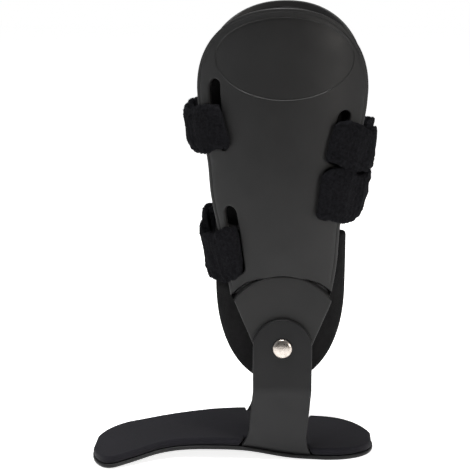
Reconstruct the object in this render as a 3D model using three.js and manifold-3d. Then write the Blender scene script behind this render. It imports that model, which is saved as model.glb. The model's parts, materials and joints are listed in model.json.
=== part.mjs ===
// A right-foot ankle brace. Two hard shells stand on either side of the lower leg. Each one is
// riveted, at ankle height, to an upright of a U-shaped stirrup whose sole goes under the foot.
// Four soft straps join the two shells, and pads line them.
// Millimetres, +Z up, toes towards -X, the inner (medial) side of the foot towards -Y.
// While a piece is built, x is measured from the hinge axis, and "out" is the distance from the
// brace's middle plane, so that one recipe serves the medial and the lateral side.
import * as THREE from "three";
import { mergeVertices } from "three/addons/utils/BufferGeometryUtils.js";
import Module from "manifold-3d";

const wasm = await Module();
wasm.setup();

// Clearance between pieces that touch, between those that turn on each other, and between the
// shell and a strap or a pad
const touchGap = 0.35;
const turnGap = 0.4;
const strapGap = 0.7;
const padGap = 0.9;

// Hinge: a rivet through the upright and the flat plate at the shell's foot
const hingeHeight = 84.6;
const hingeOut = 46.5; // outer face of the shell's hinge plate
const rivetHeadRadius = 6.5;
const rivetHeadHeight = 2.4;
const rivetHeadEdge = 0.6;
const rivetShankRadius = 2.5;
const rivetTailRadius = 4.6;
const rivetTailHeight = 1.2;

// Stirrup: a sole plate with two uprights
const soleLength = 197.5;
const soleBehindHinge = 64.3;
const soleHalfWidth = 36.5;
const soleThickness = 2.7;
const archHeight = 6.5;
const heelRoundLength = 37;
const toeRoundLength = 22;
const toeSweep = 27.8; // how far the front of the sole swings towards the medial side
const uprightThickness = 3;
const uprightHalfWidth = 20;
const uprightStraightBelow = 30; // from the hinge axis down to where the upright leans in
const uprightBendRadius = 6.5;
const uprightForwardLean = 4.5;
const uprightFlare = 6.5; // how much wider each side of an upright is where it meets the sole
const uprightFlareHeight = 18;

// Insole pad
const insoleThickness = 4.8;
const insoleInset = 1.3;
const insoleNotchCorner = 4; // length over which the insole narrows beside an upright
const insoleEdgeShare = 0.62; // the rounded edge's height, as a share of the thickness

// Shell
const shellTop = 312.5;
const shellWidest = 258;
const shellWall = 3;
const shellFront = 58.7; // reach in front of the hinge axis, at the widest height
const shellBack = 55.6;
const ankleOut = 45;
const calfOut = 60;
const ankleRadius = 72; // how tightly the shell wraps the leg, at its foot and at its top
const calfRadius = 82;
const crownSquareness = 2.2;
const plateHeight = 49; // the hinge plate is a fan: its arc's top above the rivet
const plateArcRadius = 41;
const plateHalfWidth = 33;
const plateTailRadius = 18;
const plateWall = 3;
const plateStepDraft = 0.8;
const ovalHalfWidth = 45.3;
const ovalHalfHeight = 26.5;
const ovalHeight = 280; // height of the oval's middle
const ovalDepth = 0.6;

// Strap slots: heights of their top ends, and the margins left outside their top and foot. Those
// on the narrow half stand straighter than the shell's edge, which leaves less outside their feet.
const slotWidth = 9.5;
const upperFrontMargins = [12, 12];
const lowerFrontMargins = [10, 5.5];
const upperBackMargins = [13.5, 12.5];
const lowerBackMargins = [12.5, 8.5];
const frontSlotLength = 47;
const backSlotLength = 35;
const upperFrontSlotTop = 266;
const lowerFrontSlotTop = 181;
const upperBackSlotTop = 246;
const backSlotBridge = 3;

// Straps
const strapThickness = 3;
const frontStrapWidth = 35;
const backStrapWidth = 32;
const strapPuff = 3.2; // how far the soft strap stands off the shell between slot and edge
const strapTailShare = 0.5; // how much of the way to the middle plane the fastened tail reaches
const strapJoinShare = 0.35; // how much of that way it needs to close up to the run
const strapEdgeShare = 0.6; // the rounded edge's thickness, as a share of the strap's

// Pads
const padThickness = 8;
const padEdgeShare = 0.55; // the rounded edge's thickness, as a share of the pad's
const padRiseLength = 9; // the distance over which a pad lifts to pass over a strap's tail
const padBend = 0.25; // how fast a pad turns in, where it passes the shell's edge
const padInset = 6; // how far inside the shell's outline a pad ends, or starts to run straight
const calfPadTopInset = 4;
const calfPadBottom = 165.5;
const anklePadTop = 163;
const anklePadBottom = 57;
const anklePadHalfWidth = 43.2;
const anklePadWidest = 125;
const anklePadSquareness = 2.3;
const medialPadForward = 2.3;
const lateralPadForward = 4.5;

const { sin, cos, asin, sqrt, abs, min, max, PI } = Math;
const mix = (a, b, t) => a + (b - a) * t;
const clamp01 = (t) => min(1, max(0, t));
const smooth = (t) => clamp01(t) ** 2 * (3 - 2 * clamp01(t));
const steps = (count) => Array.from({ length: count + 1 }, (_, i) => i / count);

// Smooth interpolation through a table, whose rows run upwards in the column named at
function fromTable(rows, at, column, value) {
  const last = rows.length - 1;
  if (value <= rows[0][at]) return rows[0][column];
  if (value >= rows[last][at]) return rows[last][column];
  const i = rows.findIndex((row) => row[at] > value) - 1;
  const slope = (a, b) => (b[column] - a[column]) / (b[at] - a[at]);
  const span = rows[i + 1][at] - rows[i][at];
  const t = (value - rows[i][at]) / span;
  const m0 = slope(rows[max(0, i - 1)], rows[i + 1]) * span;
  const m1 = slope(rows[i], rows[min(last, i + 2)]) * span;
  const [t2, t3] = [t * t, t * t * t];
  return (
    (2 * t3 - 3 * t2 + 1) * rows[i][column] +
    (t3 - 2 * t2 + t) * m0 +
    (3 * t2 - 2 * t3) * rows[i + 1][column] +
    (t3 - t2) * m1
  );
}

// A closed solid from a geometry, with shared corners merged and collapsed triangles dropped
function toSolid(geometry) {
  const bare = geometry.clone();
  bare.deleteAttribute("normal");
  bare.deleteAttribute("uv");
  const merged = mergeVertices(bare, 1e-4);
  const index = merged.index.array;
  const kept = [];
  for (let i = 0; i < index.length; i += 3) {
    const [a, b, c] = [index[i], index[i + 1], index[i + 2]];
    if (a !== b && b !== c && c !== a) kept.push(a, b, c);
  }
  return new wasm.Manifold(
    new wasm.Mesh({
      numProp: 3,
      vertProperties: merged.attributes.position.array,
      triVerts: new Uint32Array(kept),
    }),
  );
}

function toGeometry(solid) {
  const mesh = solid.getMesh();
  const geometry = new THREE.BufferGeometry();
  geometry.setAttribute(
    "position",
    new THREE.BufferAttribute(new Float32Array(mesh.vertProperties), 3),
  );
  geometry.setIndex(new THREE.BufferAttribute(new Uint32Array(mesh.triVerts), 1));
  geometry.computeVertexNormals();
  return geometry;
}

// A sheet with a wall: front[row][column] and back[row][column] are its two faces, and its four
// edges are closed between them. Rows run up and columns run to the right, seen from the front.
function sheet(front, back) {
  const rows = front.length;
  const columns = front[0].length;
  const at = (face, r, c) => (face * rows + r) * columns + c;
  const index = [];
  const quad = (a, b, c, d) => index.push(a, b, c, a, c, d);
  for (let r = 0; r < rows - 1; r += 1)
    for (let c = 0; c < columns - 1; c += 1) {
      quad(at(0, r, c), at(0, r, c + 1), at(0, r + 1, c + 1), at(0, r + 1, c));
      quad(at(1, r, c), at(1, r + 1, c), at(1, r + 1, c + 1), at(1, r, c + 1));
    }
  const [top, right] = [rows - 1, columns - 1];
  for (let c = 0; c < right; c += 1) {
    quad(at(0, 0, c), at(1, 0, c), at(1, 0, c + 1), at(0, 0, c + 1));
    quad(at(0, top, c + 1), at(1, top, c + 1), at(1, top, c), at(0, top, c));
  }
  for (let r = 0; r < top; r += 1) {
    quad(at(0, r + 1, 0), at(1, r + 1, 0), at(1, r, 0), at(0, r, 0));
    quad(at(0, r, right), at(1, r, right), at(1, r + 1, right), at(0, r + 1, right));
  }
  const loose = new THREE.BufferGeometry();
  const numbers = [...front.flat(), ...back.flat()].flatMap((p) => [p.x, p.y, p.z]);
  loose.setAttribute("position", new THREE.Float32BufferAttribute(numbers, 3));
  loose.setIndex(index);
  return toSolid(loose);
}

// A prism along the out direction: an outline of [x, z] points, from one out distance to another
function prism(outline, outFrom, outTo) {
  const shape = new THREE.Shape(outline.map(([x, z]) => new THREE.Vector2(x, z)));
  const geometry = new THREE.ExtrudeGeometry(shape, {
    depth: outTo - outFrom,
    bevelEnabled: false,
  });
  geometry.rotateX(PI / 2);
  geometry.translate(0, -outFrom, 0);
  return toSolid(geometry);
}

function ovalPrism(halfWidth, halfHeight, z, sides, outFrom, outTo) {
  const outline = steps(sides)
    .slice(1)
    .map((t) => [halfWidth * cos(2 * PI * t), z + halfHeight * sin(2 * PI * t)]);
  return prism(outline, outFrom, outTo);
}

// A point of the medial side, which lies towards -Y
const point = (x, out, z) => new THREE.Vector3(x, -out, z);
const mirrored = (solid) => solid.mirror([0, 1, 0]);

// The shell's wall wraps the leg. At each height its outer face is an arc of a circle.
const plateArcFrom = hingeHeight + plateHeight - plateArcRadius; // the height of the arc's centre
const wallFoot = plateArcFrom + sqrt(plateArcRadius ** 2 - plateHalfWidth ** 2);
const riseOf = (z) => clamp01((z - wallFoot) / (shellTop - wallFoot));
const wrapRadius = (z) => mix(ankleRadius, calfRadius, riseOf(z));
const wallOut = (z) => mix(ankleOut, calfOut, sin((riseOf(z) * PI) / 2));

// How far the wall reaches, as shares of shellFront and shellBack, from its foot (0) to its
// widest height (1)
const wallReach = [
  { up: 0, front: 0.613, back: 0.585 },
  { up: 0.18, front: 0.69, back: 0.655 },
  { up: 0.35, front: 0.772, back: 0.685 },
  { up: 0.5, front: 0.845, back: 0.75 },
  { up: 0.66, front: 0.88, back: 0.845 },
  { up: 0.8, front: 0.945, back: 0.925 },
  { up: 0.91, front: 0.985, back: 0.98 },
  { up: 1, front: 1, back: 1 },
];
function reach(z, way) {
  const full = way < 0 ? shellFront : shellBack;
  if (z > shellWidest) {
    const t = clamp01((z - shellWidest) / (shellTop - shellWidest));
    return full * (1 - t ** crownSquareness) ** (1 / crownSquareness);
  }
  const up = (z - wallFoot) / (shellWidest - wallFoot);
  return full * fromTable(wallReach, "up", way < 0 ? "front" : "back", up);
}

// A point of the wall: x is where it shows from the side, depth is measured in from its outer face
function onWall(x, z, depth) {
  const radius = wrapRadius(z);
  const turn = asin(x / radius);
  return point(sin(turn) * (radius - depth), wallOut(z) - radius + cos(turn) * (radius - depth), z);
}

// The same, found by the distance q inwards from the front (way -1) or back (way 1) edge, measured
// round the wall. A negative q lies outside the edge, straight on from the wall.
function fromEdge(way, q, z, depth) {
  const radius = wrapRadius(z);
  const turn = asin(reach(z, way) / radius) - max(q, 0) / radius;
  const past = max(-q, 0);
  const r = radius - depth;
  return point(
    way * (sin(turn) * r + cos(turn) * past),
    wallOut(z) - radius + cos(turn) * r - sin(turn) * past,
    z,
  );
}

// The shell is one sheet. From its foot up, its rows are the hinge plate's round tail, its
// straight sides, its arc, the step from the plate to the wall, the wall and the crown. A row
// tells the height and the reach at its two ends, how far it bends up into the plate's arc, and
// its out distance.
function shellRows(wall) {
  const flat = hingeOut - wall;
  const tail = plateTailRadius;
  const tailTurn = Math.atan2(plateHalfWidth - tail, wallFoot - hingeHeight);
  const arcAt = (x) => sqrt(max(0, (plateArcRadius - wall) ** 2 - x ** 2));
  const bend = (x) => arcAt(x) - arcAt(plateHalfWidth);
  const lift = plateArcFrom + arcAt(plateHalfWidth);
  const rows = [];
  const add = (z, front, back, share, out) => rows.push({ z, front, back, share, out });
  steps(7).forEach((t) => {
    const turn = mix(0.02, PI / 2 + tailTurn, t);
    const half = tail * sin(turn);
    add(hingeHeight - tail * cos(turn), half, half, 0, () => flat);
  });
  const shoulder = rows[rows.length - 1];
  [0.4, 0.75, 1].forEach((t) => {
    const half = mix(shoulder.front, plateHalfWidth, t);
    add(mix(shoulder.z, lift, t), half, half, t ** 2, () => flat);
  });
  const wallStart = lift + (wall > 0 ? 0 : plateStepDraft);
  steps(10).forEach((t) => {
    const z = mix(wallStart, shellWidest, t);
    add(z, reach(max(z, wallFoot), -1), reach(max(z, wallFoot), 1), (1 - t) ** 3, null);
  });
  steps(7)
    .slice(1)
    .forEach((t) => {
      const z = shellWidest + (shellTop - shellWidest) * sin((t * PI) / 2);
      add(z, reach(z, -1), reach(z, 1), 0, null);
    });
  return rows.map(({ z, front, back, share, out }) =>
    steps(10).map((t) => {
      const x = mix(-front, back, t);
      const height = z + share * bend(x);
      return out ? point(x, out(), height) : onWall(x, height, wall);
    }),
  );
}

// The four strap slots: way -1 is the front edge's and 1 the back edge's
const frontSlot = { way: -1, length: frontSlotLength };
const backSlot = { way: 1, length: backSlotLength };
const lowerBackSlotTop = upperBackSlotTop - backSlotLength - backSlotBridge;
const slots = {
  upperFront: { ...frontSlot, top: upperFrontSlotTop, margins: upperFrontMargins },
  lowerFront: { ...frontSlot, top: lowerFrontSlotTop, margins: lowerFrontMargins },
  upperBack: { ...backSlot, top: upperBackSlotTop, margins: upperBackMargins },
  lowerBack: { ...backSlot, top: lowerBackSlotTop, margins: lowerBackMargins },
};
const marginAt = ({ top, length, margins }, z) => mix(...margins, clamp01((top - z) / length));

// A slot's cutter follows the shell's edge: a round-ended band, deeper than the wall
function slotCutter(slot) {
  const { way, top, length } = slot;
  const round = slotWidth / 2;
  const rows = [
    ...steps(3).map((t) => round - round * cos((t * PI) / 2)),
    ...steps(3).map((t) => length - round + round * sin((t * PI) / 2)),
  ];
  const face = (depth) =>
    rows.map((rise) => {
      const fromEnd = max(0, round - min(rise, length - rise));
      const half = sqrt(max(0.02, round ** 2 - fromEnd ** 2));
      const z = top - length + rise;
      const pair = [half, -half].map((q) => fromEdge(way, marginAt(slot, z) + round + q, z, depth));
      return way < 0 ? pair.reverse() : pair;
    });
  return sheet(face(-shellWall), face(2 * shellWall));
}

// The shallow oval panel pressed into the crown of the shell
function ovalCutter() {
  const cutter = ovalPrism(ovalHalfWidth, ovalHalfHeight, ovalHeight, 24, 0, 2 * calfOut);
  const overSize = 1.1; // the layer that the cutter is cut from is this much larger than the oval
  const layer = (depth) =>
    steps(4).map((up) =>
      steps(8).map((across) => {
        const x = ovalHalfWidth * overSize * (2 * across - 1);
        const z = ovalHeight + ovalHalfHeight * overSize * (2 * up - 1);
        return onWall(x, z, depth);
      }),
    );
  return cutter.intersect(sheet(layer(-ovalDepth), layer(ovalDepth)));
}

// The hole for the rivet, through the shell's hinge plate and the upright
function rivetHole() {
  const radius = rivetShankRadius + turnGap;
  return ovalPrism(radius, radius, hingeHeight, 18, 0, 2 * hingeOut);
}

function shell() {
  let made = sheet(shellRows(0), shellRows(shellWall));
  for (const slot of Object.values(slots)) made = made.subtract(slotCutter(slot));
  return made.subtract(ovalCutter()).subtract(rivetHole());
}

// Uprights lie outside the hinge plates
const uprightInner = hingeOut + turnGap;
const uprightOuter = uprightInner + uprightThickness;

// The rivet: a domed head outside the upright, a shank, and a flat tail inside the hinge plate
function rivet() {
  const headSeat = uprightOuter + touchGap;
  const tailSeat = hingeOut - plateWall - touchGap;
  const dome = steps(4).map((t) => [
    rivetHeadRadius * cos((t * PI) / 2),
    headSeat + rivetHeadEdge + (rivetHeadHeight - rivetHeadEdge) * sin((t * PI) / 2),
  ]);
  const profile = [
    [0, tailSeat - rivetTailHeight],
    [rivetTailRadius, tailSeat - rivetTailHeight],
    [rivetTailRadius, tailSeat],
    [rivetShankRadius, tailSeat],
    [rivetShankRadius, headSeat],
    [rivetHeadRadius, headSeat],
    ...dome.slice(0, -1),
    [0, headSeat + rivetHeadHeight],
  ].map(([r, along]) => new THREE.Vector2(r, along));
  const geometry = new THREE.LatheGeometry(profile, 18);
  geometry.rotateX(PI);
  geometry.translate(0, 0, hingeHeight);
  return toSolid(geometry);
}

// The sole from heel (0) to toe (1): its middle line's swing towards the medial side as a share
// of toeSweep, its half width as a share of soleHalfWidth, and its lift as one of archHeight
const soleSections = [
  { along: 0, swing: 0.28, half: 1, lift: 0 },
  { along: 0.08, swing: 0.1, half: 1, lift: 0 },
  { along: 0.17, swing: 0, half: 1, lift: 0 },
  { along: 0.3, swing: 0, half: 1, lift: 0.2 },
  { along: 0.45, swing: 0, half: 1, lift: 0.88 },
  { along: 0.57, swing: 0.09, half: 0.94, lift: 1 },
  { along: 0.68, swing: 0.19, half: 0.865, lift: 0.86 },
  { along: 0.76, swing: 0.36, half: 0.87, lift: 0.68 },
  { along: 0.85, swing: 0.64, half: 0.97, lift: 0.32 },
  { along: 0.93, swing: 0.88, half: 1.04, lift: 0.05 },
  { along: 1, swing: 1, half: 1.04, lift: 0 },
];
const alongOf = (x) => (soleBehindHinge - x) / soleLength;
const soleSwing = (x) => toeSweep * fromTable(soleSections, "along", "swing", alongOf(x));
const soleLift = (x) => archHeight * max(0, fromTable(soleSections, "along", "lift", alongOf(x)));
const toeX = soleBehindHinge - soleLength;
function soleHalf(x) {
  const heel = clamp01((x - (soleBehindHinge - heelRoundLength)) / heelRoundLength);
  const toe = clamp01((toeX + toeRoundLength - x) / toeRoundLength);
  const round = sqrt(max(0, 1 - heel ** 2)) * sqrt(max(0, 1 - toe ** 2));
  return soleHalfWidth * fromTable(soleSections, "along", "half", alongOf(x)) * round;
}

// Between the uprights the insole is narrower: this far on each side of their middle
const notchHalfLength = uprightHalfWidth + uprightFlare;

// Stations along the sole, closer together in its two round ends and at the insole's corners
function soleStations(inset) {
  const toeStart = toeX + toeRoundLength;
  const corners = [
    -notchHalfLength - insoleNotchCorner,
    -notchHalfLength,
    notchHalfLength,
    notchHalfLength + insoleNotchCorner,
  ].map((x) => x - uprightForwardLean);
  const end = (from, to) => steps(6).map((t) => mix(from, to, 1 - cos((t * PI) / 2)));
  const even = (from, to, count) => steps(count).map((t) => mix(from, to, t)).slice(1);
  return [
    ...end(toeX + inset, toeStart),
    ...even(toeStart, corners[0], 8),
    ...even(corners[0], corners[1], 3),
    ...even(corners[1], corners[2], 5),
    ...even(corners[2], corners[3], 3),
    ...end(soleBehindHinge - inset, corners[3]).reverse().slice(1),
  ];
}

// A slab on the sole's outline. Columns run across it, and low and high give the heights of its
// two faces at a share (-1 to 1) of the way across.
function soleSlab(inset, halfAt, across, low, high) {
  const face = (heightAt) =>
    across.map((share) =>
      soleStations(inset).map((x) => {
        const y = -soleSwing(x) - share * halfAt(x);
        return new THREE.Vector3(x, y, soleLift(x) + heightAt(share));
      }),
    );
  return sheet(face(low), face(high));
}

// An upright's path from inside the sole plate, round the bend and up: out, height and thickness,
// and how far it has turned from lying to standing
function uprightPath() {
  const straight = hingeHeight - uprightStraightBelow;
  const middle = uprightOuter - uprightThickness / 2;
  const plate = soleThickness / 2;
  const footOut = soleHalfWidth - uprightThickness / 2;
  const lean = Math.atan2(middle - footOut, straight - uprightBendRadius);
  const bendOut = footOut - uprightBendRadius;
  const footThickness = soleThickness * 0.94; // its faces lie inside the sole plate's
  const bend = steps(5).map((t) => {
    const turn = mix(0, PI / 2 - lean, t);
    return {
      out: bendOut + uprightBendRadius * sin(turn),
      z: plate + uprightBendRadius * (1 - cos(turn)),
      thick: mix(footThickness, uprightThickness, t),
      turn,
    };
  });
  const crown = steps(6).map((t) => ({
    out: middle,
    z: hingeHeight + uprightHalfWidth * sin((t * PI) / 2),
    thick: uprightThickness,
    turn: PI / 2,
  }));
  return [
    { out: bendOut - uprightBendRadius / 2, z: plate, thick: footThickness, turn: 0 },
    ...bend,
    { out: middle, z: straight, thick: uprightThickness, turn: PI / 2 - lean / 2 },
    ...crown,
  ];
}

function upright() {
  const straight = hingeHeight - uprightStraightBelow;
  const face = (side) =>
    uprightPath().map(({ out, z, thick, turn }) => {
      const drop = clamp01((straight - z) / straight);
      const above = max(0, z - hingeHeight);
      const flare = uprightFlare * clamp01(1 - z / uprightFlareHeight) ** 2;
      const half = sqrt(max(0, uprightHalfWidth ** 2 - above ** 2)) + flare;
      return steps(6).map((across) => {
        const x = mix(-half, half, across) - uprightForwardLean * drop;
        const shift = (side * thick) / 2;
        return point(x, out + shift * sin(turn), z + soleLift(x) * smooth(drop) - shift * cos(turn));
      });
    });
  return sheet(face(1), face(-1)).subtract(rivetHole());
}

function stirrup() {
  const plate = soleSlab(0, soleHalf, [-1, 0, 1], () => 0, () => soleThickness);
  return plate.add(upright()).add(mirrored(upright()));
}

// The insole pad lies on the sole plate and is narrower between the uprights
function insole() {
  const notchHalf = soleHalfWidth - uprightThickness / 2 - uprightBendRadius - touchGap;
  const halfAt = (x) => {
    const full = max(0, soleHalf(x) - insoleInset);
    const into = smooth((notchHalfLength - abs(x + uprightForwardLean)) / insoleNotchCorner + 1);
    return mix(full, min(full, notchHalf), into);
  };
  const across = [-1, -0.94, 0, 0.94, 1];
  const low = soleThickness + touchGap;
  const high = (share) => low + insoleThickness * (abs(share) === 1 ? insoleEdgeShare : 1);
  return soleSlab(insoleInset, halfAt, across, () => low, high);
}

// The four straps: the slot each one uses, its width, where its outer face crosses the middle
// plane at its top and bottom edges, and how far it sags beside its medial slot
const straps = {
  upper_front_strap: {
    slot: slots.upperFront,
    width: frontStrapWidth,
    middleTop: 69,
    middleBottom: 63,
    sag: 3.5,
  },
  lower_front_strap: {
    slot: slots.lowerFront,
    width: frontStrapWidth,
    middleTop: 61,
    middleBottom: 52,
    sag: 7.5,
  },
  upper_back_strap: {
    slot: slots.upperBack,
    width: backStrapWidth,
    middleTop: 60.5,
    middleBottom: 59.5,
    sag: 4,
  },
  lower_back_strap: {
    slot: slots.lowerBack,
    width: backStrapWidth,
    middleTop: 58,
    middleBottom: 51,
    sag: 4.5,
  },
};

// A strap's line at one share of its width, from one fastened tail to the middle plane. The tail
// lies on the run's inner side, passes inside the shell's edge, comes out through the slot and
// goes round the edge as the run. The strap sags outside its medial slot (sagShare 1), and rises
// again to be level at the lateral one (sagShare 0).
function strapLine({ slot, width, middleTop, middleBottom, sag }, share, sagShare) {
  const { way, top, length } = slot;
  const half = strapThickness / 2;
  const inside = shellWall + strapGap + half;
  const outside = -(strapGap + half);
  const round = slotWidth / 2;
  const level = top - length + 2 * touchGap + width * share;
  const margin = marginAt(slot, level);
  const seat = (q, depth) => {
    const drop = sag * sagShare * smooth(1 - max(q, 0) / (margin + round));
    return fromEdge(way, q, level - drop, depth);
  };
  const middle = way * (mix(middleBottom, middleTop, share) - half);
  const leave = seat(-1, outside);
  const heading = seat(-2, outside).sub(leave).normalize();
  const run = new THREE.CubicBezierCurve3(
    leave,
    leave.clone().addScaledVector(heading, abs(leave.y) * 0.45),
    new THREE.Vector3(middle, leave.y * 0.45, leave.z),
    new THREE.Vector3(middle, 0, leave.z),
  );
  const onRun = (t, inwards) => {
    const along = run.getTangent(t);
    const beside = new THREE.Vector3(-along.y, along.x, 0).multiplyScalar(way * inwards);
    return run.getPoint(t).add(beside).setZ(level - sag * mix(sagShare, 1, smooth(t)));
  };
  const tail = steps(4).map((t) => {
    const at = mix(strapTailShare, 0.02, t);
    return onRun(at, mix(inside - outside, strapThickness + touchGap, smooth(at / strapJoinShare)));
  });
  const around = [
    [margin * 0.3, inside],
    [margin * 0.7, inside],
    [margin + round * 0.5, inside],
    [margin + round * 1.2, shellWall / 2],
    [margin + round * 0.55, outside - strapPuff * 0.5],
    [margin * 0.75, outside - strapPuff],
    [margin * 0.35, outside - strapPuff * 0.85],
  ].map(([q, depth]) => seat(q, depth));
  return [...tail, ...around, ...steps(6).map((t) => onRun(t, 0))];
}

// A strap joins both shells, with the lateral half as a level mirror image of the medial one
function strap(spec) {
  const rows = [0, 0.12, 0.88, 1].map((share) => {
    const lateral = strapLine(spec, share, 0)
      .slice(0, -1)
      .reverse()
      .map((p) => new THREE.Vector3(p.x, -p.y, p.z));
    const line = [...strapLine(spec, share, 1), ...lateral];
    const curve = new THREE.CatmullRomCurve3(line, false, "centripetal");
    const thick = strapThickness * (share % 1 === 0 ? strapEdgeShare : 1);
    return steps(46).map((t) => {
      const along = curve.getTangent(t);
      const across = new THREE.Vector3(along.y, -along.x, 0).normalize();
      return { at: curve.getPoint(t), across: across.multiplyScalar(thick / 2) };
    });
  });
  const face = (side) =>
    rows.map((row) => row.map(({ at, across }) => at.clone().addScaledVector(across, side)));
  return sheet(face(1), face(-1));
}

// A pad lifts off the shell where a strap's tail passes between them, and turns in where it
// passes the shell's edge
function padLift(x, z) {
  const way = x < 0 ? -1 : 1;
  const shellZ = min(max(z, wallFoot), shellWidest);
  const fromRim = reach(shellZ, way) - abs(x);
  const near = Object.values(slots)
    .filter((slot) => slot.way === way)
    .map((slot) => {
      const beyond = abs(z - (slot.top - slot.length / 2)) - slot.length / 2;
      const along = smooth(1 - (beyond - padRiseLength / 2) / padRiseLength);
      const reached = marginAt(slot, z) + slotWidth + padRiseLength;
      return along * smooth((reached - fromRim) / padRiseLength);
    });
  return max(...near) * (strapThickness + strapGap + touchGap) + padBend * max(0, -fromRim);
}

// A pad from its rows of heights and half widths, measured at the middle of its thickness and
// centred on x = middle. Its outer face lies at the depth gap, and its edges are rounded off.
// Inside the shell's outline it follows the wall, and past it, it runs straight on.
function pad(rows, middle, gap) {
  const across = [0, 0.04, ...steps(7).slice(1, -1), 0.96, 1];
  const face = (side) =>
    rows.map(({ z, front, back, thin }) =>
      across.map((t) => {
        const x = middle + mix(-front, back, t);
        const thick = padThickness * (thin || t === 0 || t === 1 ? padEdgeShare : 1);
        const shellZ = max(z, wallFoot);
        const way = x < 0 ? -1 : 1;
        const held = way * min(abs(x), reach(min(shellZ, shellWidest), way) - padInset);
        const depth = gap + padLift(x, z) + padThickness / 2;
        const radius = wrapRadius(shellZ);
        const turn = asin(held / (radius - depth));
        const r = radius - depth - (side * thick) / 2;
        const past = (x - held) / cos(turn);
        return point(
          sin(turn) * r + cos(turn) * past,
          wallOut(shellZ) - radius + cos(turn) * r - sin(turn) * past,
          z,
        );
      }),
    );
  return sheet(face(-1), face(1));
}

// The calf pad lines the shell, a little inside its outline
function calfPad() {
  const top = shellTop - calfPadTopInset;
  const crown = steps(5)
    .slice(1)
    .map((t) => shellWidest + (top - shellWidest) * sin((t * PI) / 2));
  const heights = [
    calfPadBottom,
    calfPadBottom + padThickness / 3,
    ...steps(8)
      .slice(1)
      .map((t) => mix(calfPadBottom, shellWidest, t)),
    ...crown,
  ];
  const stretch = (shellTop - shellWidest) / (top - shellWidest);
  const edge = (z, way) => {
    const outline = z > shellWidest ? shellWidest + (z - shellWidest) * stretch : z;
    return max(0, reach(outline, way) - padInset);
  };
  const rows = heights.map((z) => ({
    z,
    front: edge(z, -1),
    back: edge(z, 1),
    thin: z === calfPadBottom,
  }));
  return pad(rows, 0, shellWall + padGap);
}

// The ankle pad: egg shaped, flat topped, wider than the shell's foot
function anklePad(forward) {
  const half = (z) => {
    const t = clamp01((anklePadWidest - z) / (anklePadWidest - anklePadBottom));
    return anklePadHalfWidth * sqrt(max(0, 1 - t ** anklePadSquareness));
  };
  const tailInner = hingeOut - plateWall - touchGap - rivetTailHeight;
  const gap = max(shellWall, ankleOut - tailInner) + padGap;
  const heights = [
    ...steps(7).map((t) => mix(anklePadWidest, anklePadBottom, cos((t * PI) / 2))),
    mix(anklePadWidest, anklePadTop, 0.35),
    mix(anklePadWidest, anklePadTop, 0.7),
    anklePadTop - padThickness / 3,
    anklePadTop,
  ];
  const rows = heights.map((z) => ({
    z,
    front: half(z),
    back: half(z),
    thin: z === anklePadTop,
  }));
  return pad(rows, -forward, gap);
}

const finish = (color, roughness, metalness = 0) =>
  new THREE.MeshStandardMaterial({ color, roughness, metalness });
const materials = {
  shell: finish(0x2e2e30, 0.55),
  stirrup: finish(0x29292b, 0.6),
  insole: finish(0x17161b, 0.95),
  pad: finish(0x101011, 1),
  strap: finish(0x121215, 1),
  rivet: finish(0xc9bfb4, 0.25, 1),
};

const brace = new THREE.Group();
brace.position.x = soleLength / 2 - soleBehindHinge; // the origin is the middle of the footprint

function place(name, solid, material) {
  const mesh = new THREE.Mesh(toGeometry(solid), material);
  mesh.name = name;
  brace.add(mesh);
}

function placeBoth(name, solid, material) {
  place(`medial_${name}`, solid, material);
  place(`lateral_${name}`, mirrored(solid), material);
}

place("stirrup", stirrup(), materials.stirrup);
place("insole", insole(), materials.insole);
placeBoth("rivet", rivet(), materials.rivet);
placeBoth("shell", shell(), materials.shell);
placeBoth("calf_pad", calfPad(), materials.pad);
place("medial_ankle_pad", anklePad(medialPadForward), materials.pad);
place("lateral_ankle_pad", mirrored(anklePad(lateralPadForward)), materials.pad);
for (const [name, spec] of Object.entries(straps)) place(name, strap(spec), materials.strap);

export default brace;
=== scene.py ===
"""A right-foot ankle brace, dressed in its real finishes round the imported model.

Metres, +Z up, toes towards -X, the inner (medial) side of the foot towards -Y. A piece's own
sizes are measured from the hinge axis in x, and "out" is the distance from the middle plane, so
that one recipe serves the medial side (side -1) and the lateral side (side 1).
"""
import json

import bpy
import numpy as np
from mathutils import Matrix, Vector
from mathutils.geometry import delaunay_2d_cdt


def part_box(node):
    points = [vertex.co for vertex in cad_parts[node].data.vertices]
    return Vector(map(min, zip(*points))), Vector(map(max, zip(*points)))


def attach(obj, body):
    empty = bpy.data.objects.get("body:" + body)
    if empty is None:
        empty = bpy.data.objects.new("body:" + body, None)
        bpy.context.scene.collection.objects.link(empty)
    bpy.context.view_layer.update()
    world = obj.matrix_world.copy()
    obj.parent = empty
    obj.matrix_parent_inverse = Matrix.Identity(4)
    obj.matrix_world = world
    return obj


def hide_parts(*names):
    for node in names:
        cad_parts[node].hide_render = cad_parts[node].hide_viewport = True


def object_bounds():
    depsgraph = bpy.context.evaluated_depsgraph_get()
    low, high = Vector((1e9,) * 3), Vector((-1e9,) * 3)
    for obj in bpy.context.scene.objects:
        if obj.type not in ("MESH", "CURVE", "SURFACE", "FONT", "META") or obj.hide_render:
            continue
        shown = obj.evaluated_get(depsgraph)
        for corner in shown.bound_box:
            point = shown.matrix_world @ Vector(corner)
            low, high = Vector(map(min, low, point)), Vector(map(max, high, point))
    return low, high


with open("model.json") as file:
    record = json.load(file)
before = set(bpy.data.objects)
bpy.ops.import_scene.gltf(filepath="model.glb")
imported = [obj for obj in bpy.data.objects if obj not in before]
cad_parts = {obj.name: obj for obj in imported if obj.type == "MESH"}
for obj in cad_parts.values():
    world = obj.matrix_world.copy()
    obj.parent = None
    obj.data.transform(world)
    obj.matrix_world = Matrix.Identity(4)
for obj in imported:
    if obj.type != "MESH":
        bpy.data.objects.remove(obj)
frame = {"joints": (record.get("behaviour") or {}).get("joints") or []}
cad_low, cad_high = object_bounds()


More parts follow.
